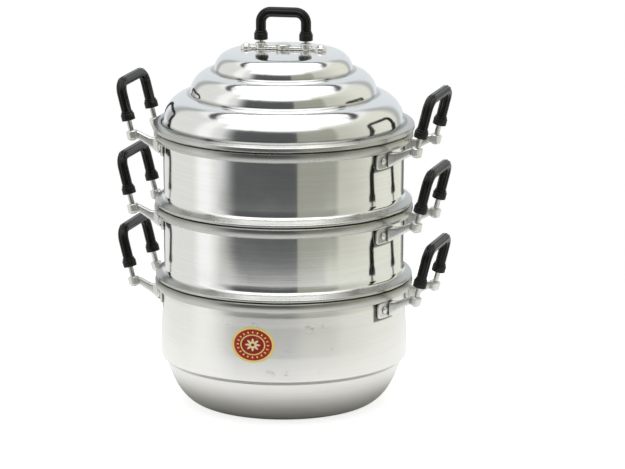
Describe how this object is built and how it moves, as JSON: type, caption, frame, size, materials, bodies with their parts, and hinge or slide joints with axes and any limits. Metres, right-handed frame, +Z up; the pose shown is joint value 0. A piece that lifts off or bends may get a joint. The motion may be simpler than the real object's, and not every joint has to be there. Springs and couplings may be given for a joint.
{
  "type": "stacked food steamer",
  "caption": "Stacked aluminium food steamer: a round cooking pot, perforated steaming trays with upright side handles, and a stepped domed lid, each lifting off the one below.",
  "frame": {"origin": "centre of the pot's base, on the surface it stands on", "axes": "+Z up along the stack, +X towards the right side handles, +Y towards the back, away from the oval sticker"},
  "size_m": [0.386, 0.3036, 0.4665],
  "materials": {
    "satin_sheet": "satin, lightly spun",
    "polished_sheet": "mirror polished",
    "cast_fitting": "cast, tumbled",
    "rivet": "satin",
    "steel_rod": "drawn and plated",
    "moulded_grip": "glossy black moulding with fine lengthwise flutes",
    "sticker": "printed film"
  },
  "bodies": {
    "pot": {"pot_shell": "satin_sheet", "pot_right_front_lug": "cast_fitting", "pot_right_front_rivet": "rivet", "pot_right_rear_lug": "cast_fitting", "pot_right_rear_rivet": "rivet", "pot_right_rod": "steel_rod", "pot_right_grip": "moulded_grip", "pot_left_front_lug": "cast_fitting", "pot_left_front_rivet": "rivet", "pot_left_rear_lug": "cast_fitting", "pot_left_rear_rivet": "rivet", "pot_left_rod": "steel_rod", "pot_left_grip": "moulded_grip", "pot_label": "sticker"},
    "lower_tray": {"lower_tray_shell": "polished_sheet", "lower_tray_right_front_lug": "cast_fitting", "lower_tray_right_front_rivet": "rivet", "lower_tray_right_rear_lug": "cast_fitting", "lower_tray_right_rear_rivet": "rivet", "lower_tray_right_rod": "steel_rod", "lower_tray_right_grip": "moulded_grip", "lower_tray_left_front_lug": "cast_fitting", "lower_tray_left_front_rivet": "rivet", "lower_tray_left_rear_lug": "cast_fitting", "lower_tray_left_rear_rivet": "rivet", "lower_tray_left_rod": "steel_rod", "lower_tray_left_grip": "moulded_grip"},
    "upper_tray": {"upper_tray_shell": "polished_sheet", "upper_tray_right_front_lug": "cast_fitting", "upper_tray_right_front_rivet": "rivet", "upper_tray_right_rear_lug": "cast_fitting", "upper_tray_right_rear_rivet": "rivet", "upper_tray_right_rod": "steel_rod", "upper_tray_right_grip": "moulded_grip", "upper_tray_left_front_lug": "cast_fitting", "upper_tray_left_front_rivet": "rivet", "upper_tray_left_rear_lug": "cast_fitting", "upper_tray_left_rear_rivet": "rivet", "upper_tray_left_rod": "steel_rod", "upper_tray_left_grip": "moulded_grip"},
    "lid": {"lid_shell": "polished_sheet", "lid_bridge": "cast_fitting", "lid_right_rivet": "rivet", "lid_left_rivet": "rivet", "lid_rod": "steel_rod", "lid_grip": "moulded_grip"}
  },
  "joints": [
    {"name": "lower_tray_lift", "type": "slide", "parent": "pot", "child": "lower_tray", "axis": [0, 0, 1], "range_m": [0, 0.12]},
    {"name": "upper_tray_lift", "type": "slide", "parent": "lower_tray", "child": "upper_tray", "axis": [0, 0, 1], "range_m": [0, 0.12]},
    {"name": "lid_lift", "type": "slide", "parent": "upper_tray", "child": "lid", "axis": [0, 0, 1], "range_m": [0, 0.12]}
  ]
}
